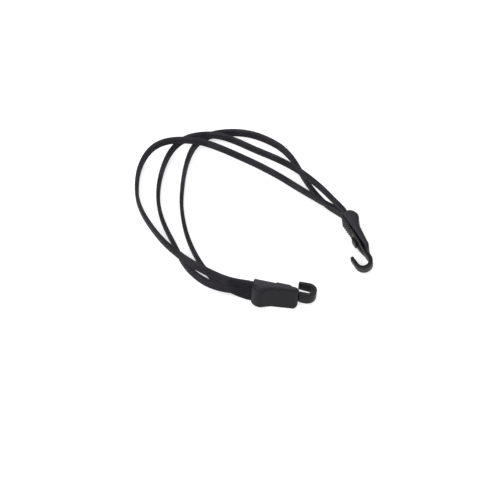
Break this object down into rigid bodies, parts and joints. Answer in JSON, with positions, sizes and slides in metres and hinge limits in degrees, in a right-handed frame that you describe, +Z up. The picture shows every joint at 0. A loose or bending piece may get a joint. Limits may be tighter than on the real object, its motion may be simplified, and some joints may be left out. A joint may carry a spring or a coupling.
{
  "type": "bungee cord",
  "caption": "Elastic luggage bungee: flat woven straps side by side between moulded end fittings, each with a thumb cover, a grip crest and a J hook for a rack tube.",
  "frame": {"origin": "on the surface that the bungee lies on, under the middle of the box round its two end fittings", "axes": "+X along the near fitting towards its hook, +Y from the near fitting to the far one, +Z up from the surface"},
  "size_m": [0.2393, 0.2096, 0.0289],
  "materials": {
    "hook_plastic": "satin moulded",
    "cover_plastic": "fine satin texture",
    "woven_sleeve": "ribbed weave",
    "rubber_core": "natural",
    "ferrule_steel": "zinc plated"
  },
  "bodies": {
    "straps": {"strap_outer_sleeve": "woven_sleeve", "strap_middle_sleeve": "woven_sleeve", "strap_inner_sleeve": "woven_sleeve", "strap_outer_core": "rubber_core", "strap_middle_core": "rubber_core", "strap_inner_core": "rubber_core", "near_ferrule_outer": "ferrule_steel", "near_ferrule_middle": "ferrule_steel", "near_ferrule_inner": "ferrule_steel"},
    "near_fitting": {"near_hook": "hook_plastic", "near_cover": "cover_plastic"},
    "far_strap_ends": {"far_ferrule_outer": "ferrule_steel", "far_ferrule_middle": "ferrule_steel", "far_ferrule_inner": "ferrule_steel"},
    "far_fitting": {"far_hook": "hook_plastic", "far_cover": "cover_plastic"}
  },
  "joints": [
    {"name": "near_swing", "type": "hinge", "parent": "straps", "child": "near_fitting", "pos_m": [-0.05187, -0.0379, 0.01404], "axis": [0.0576, 0.2437, 0.9681], "range_deg": [-4, 4]},
    {"name": "stretch", "type": "slide", "parent": "straps", "child": "far_strap_ends", "axis": [0.6, -0.8, 0], "range_m": [0, 0.1], "stiffness_N_per_m": 180, "deforming": ["strap_outer_sleeve", "strap_middle_sleeve", "strap_inner_sleeve", "strap_outer_core", "strap_middle_core", "strap_inner_core"]},
    {"name": "far_swing", "type": "hinge", "parent": "far_strap_ends", "child": "far_fitting", "pos_m": [0.03887, 0.0415, 0.01398], "axis": [-0.1209, -0.0689, 0.9903], "range_deg": [-4, 4]}
  ]
}
